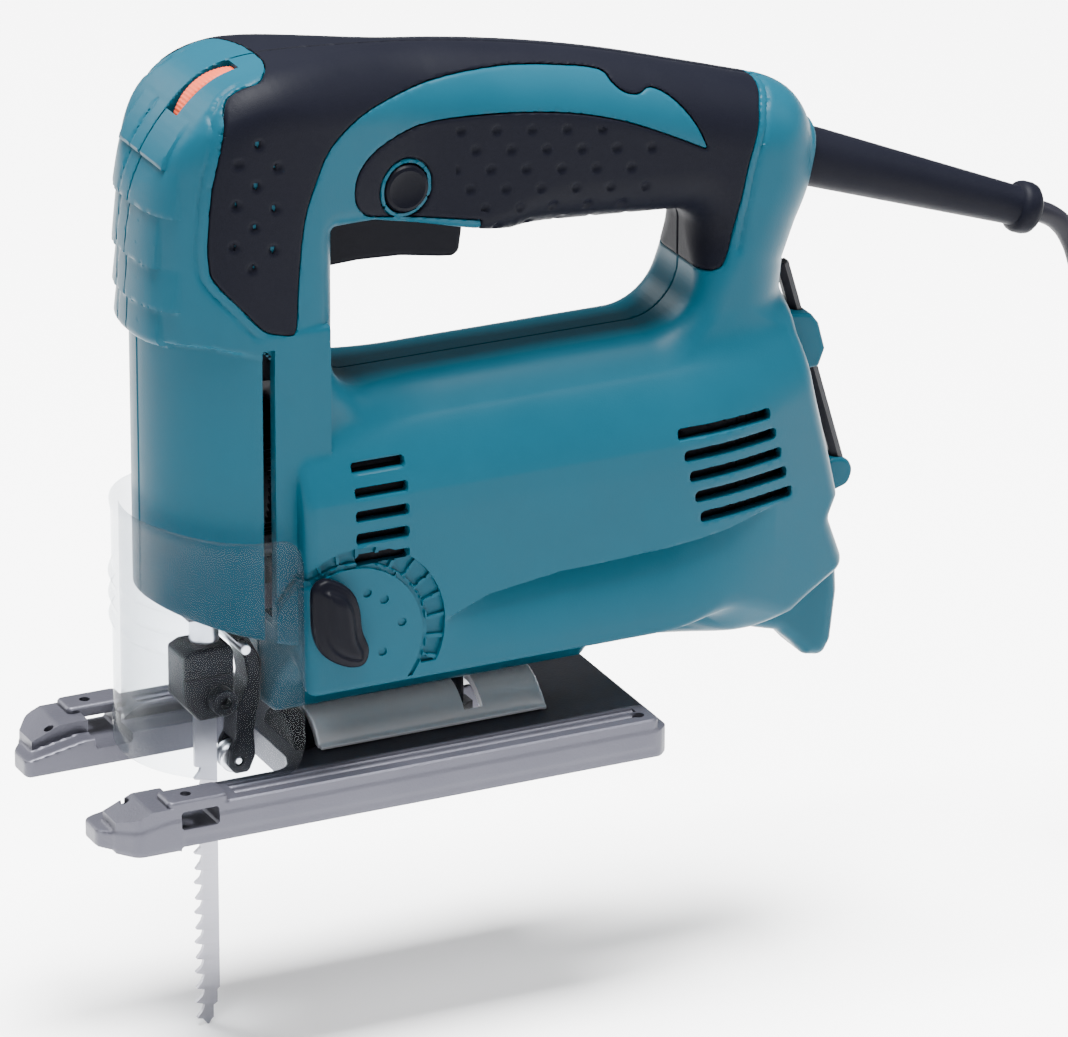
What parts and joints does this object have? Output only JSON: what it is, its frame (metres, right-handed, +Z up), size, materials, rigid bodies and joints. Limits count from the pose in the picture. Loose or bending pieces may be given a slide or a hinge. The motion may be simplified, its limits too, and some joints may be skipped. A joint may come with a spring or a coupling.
{
  "type": "orbital jigsaw",
  "caption": "corded orbital jigsaw with a loop handle, clear dust cover, tilting base and a blade driven by a crank and yoke",
  "frame": {"origin": "centre of the sole, the flat underside of the base", "axes": "blade side is -X, cord side is +X, operator's left side is -Y, up is +Z"},
  "size_m": [0.4011, 0.0852, 0.2675],
  "materials": {
    "housing_teal": "moulded glass-filled nylon, fine satin texture",
    "grip_rubber": "soft moulded elastomer, matte",
    "cast_aluminium": "die-cast, shot-blasted",
    "bright_steel": "ground or plated steel",
    "dark_steel": "black-oxide steel",
    "black_plastic": "moulded, fine texture",
    "orange_plastic": "moulded, satin",
    "clear_plastic": "clear polycarbonate",
    "copper": "enamelled copper",
    "bronze": "sintered bronze and brass",
    "carbon": "pressed carbon",
    "blade_steel": "ground tool steel",
    "cord_rubber": "rubber sheath, matte"
  },
  "bodies": {
    "housing": {"housing_left": "housing_teal", "housing_right": "housing_teal", "key_clip": "housing_teal", "key_hook": "housing_teal", "grip_left": "grip_rubber", "grip_right": "grip_rubber", "cord_guard": "grip_rubber", "gear_housing": "cast_aluminium", "gear_shaft": "bright_steel", "bearing_front": "bright_steel", "bearing_rear": "bright_steel", "roller_arm_pin": "bright_steel", "housing_screw_1": "bright_steel", "housing_screw_2": "bright_steel", "housing_screw_3": "bright_steel", "housing_screw_4": "bright_steel", "housing_screw_5": "bright_steel", "housing_screw_6": "bright_steel", "field_core": "dark_steel", "base_bolt": "dark_steel", "fan_baffle": "black_plastic", "switch": "black_plastic", "dial_shaft": "black_plastic", "plug": "black_plastic", "field_coil_front": "copper", "field_coil_rear": "copper", "bush_lower": "bronze", "bush_upper": "bronze", "brush_holder_left": "bronze", "brush_holder_right": "bronze", "brush_left": "carbon", "brush_right": "carbon", "cord": "cord_rubber", "cord_coil": "cord_rubber"},
    "armature": {"armature_shaft": "bright_steel", "armature_core": "dark_steel", "armature_winding": "copper", "commutator": "copper", "fan": "black_plastic"},
    "gear": {"drive_gear": "dark_steel", "crank_pin": "bright_steel", "crank_roller": "bright_steel"},
    "plunger": {"plunger": "bright_steel", "blade_clamp": "dark_steel", "clamp_bolt": "dark_steel", "blade": "blade_steel"},
    "trigger": {"trigger": "black_plastic"},
    "lock_button": {"lock_button": "black_plastic"},
    "speed_dial": {"speed_dial": "orange_plastic"},
    "orbital_lever": {"orbital_lever": "black_plastic"},
    "roller_arm": {"roller_arm": "dark_steel", "roller_axle": "bright_steel"},
    "guide_roller": {"guide_roller": "bright_steel"},
    "base": {"base_plate": "cast_aluminium", "saddle": "bright_steel", "saddle_cap": "black_plastic"},
    "dust_cover": {"dust_cover": "clear_plastic"},
    "hex_key": {"hex_key": "dark_steel"}
  },
  "joints": [
    {"name": "armature_spin", "type": "hinge", "parent": "housing", "child": "armature", "pos_m": [0, 0, 0.064], "axis": [1, 0, 0], "range_deg": [-450, 450]},
    {"name": "gear_spin", "type": "hinge", "parent": "housing", "child": "gear", "pos_m": [-0.0225, 0, 0.0856], "axis": [1, 0, 0], "range_deg": [-90.01, 90.01]},
    {"name": "plunger_stroke", "type": "slide", "parent": "housing", "child": "plunger", "axis": [0, 0, 1], "range_m": [-0.009, 0.009]},
    {"name": "trigger_press", "type": "slide", "parent": "housing", "child": "trigger", "axis": [0, 0, 1], "range_m": [0, 0.005], "stiffness_N_per_m": 800, "springref_m": -0.004},
    {"name": "lock_button_press", "type": "slide", "parent": "housing", "child": "lock_button", "axis": [0, 1, 0], "range_m": [0, 0.003], "stiffness_N_per_m": 500, "springref_m": -0.002},
    {"name": "speed_dial_turn", "type": "hinge", "parent": "housing", "child": "speed_dial", "pos_m": [-0.03, -0.00355, 0.1806], "axis": [0, 1, 0], "range_deg": [-120, 120]},
    {"name": "orbital_lever_turn", "type": "hinge", "parent": "housing", "child": "orbital_lever", "pos_m": [-0.0125, -0.031, 0.05], "axis": [0, -1, 0], "range_deg": [0, 100]},
    {"name": "roller_arm_swing", "type": "hinge", "parent": "housing", "child": "roller_arm", "pos_m": [-0.0284, 0, 0.0376], "axis": [0, -1, 0], "range_deg": [0, 3], "stiffness_Nm_per_rad": 0.4, "springref_deg": -5.73},
    {"name": "guide_roller_spin", "type": "hinge", "parent": "roller_arm", "child": "guide_roller", "pos_m": [-0.0294, 0, 0.0052], "axis": [0, 1, 0], "continuous": true},
    {"name": "base_tilt", "type": "hinge", "parent": "housing", "child": "base", "pos_m": [0, 0, 0.004], "axis": [1, 0, 0], "range_deg": [0, 45]},
    {"name": "dust_cover_lift", "type": "slide", "parent": "housing", "child": "dust_cover", "axis": [0, 0, 1], "range_m": [0, 0.0292]},
    {"name": "hex_key_slide", "type": "slide", "parent": "housing", "child": "hex_key", "axis": [0.2834, 0, -0.959], "range_m": [0, 0.055]}
  ],
  "couplings": [
    {"joint": "gear_spin", "follows": "armature_spin", "ratio": -0.2},
    {"joint": "plunger_stroke", "follows": "armature_spin", "m_per_rad": -0.0011459},
    {"joint": "dust_cover_lift", "follows": "base_tilt", "m_per_rad": 0.037}
  ]
}
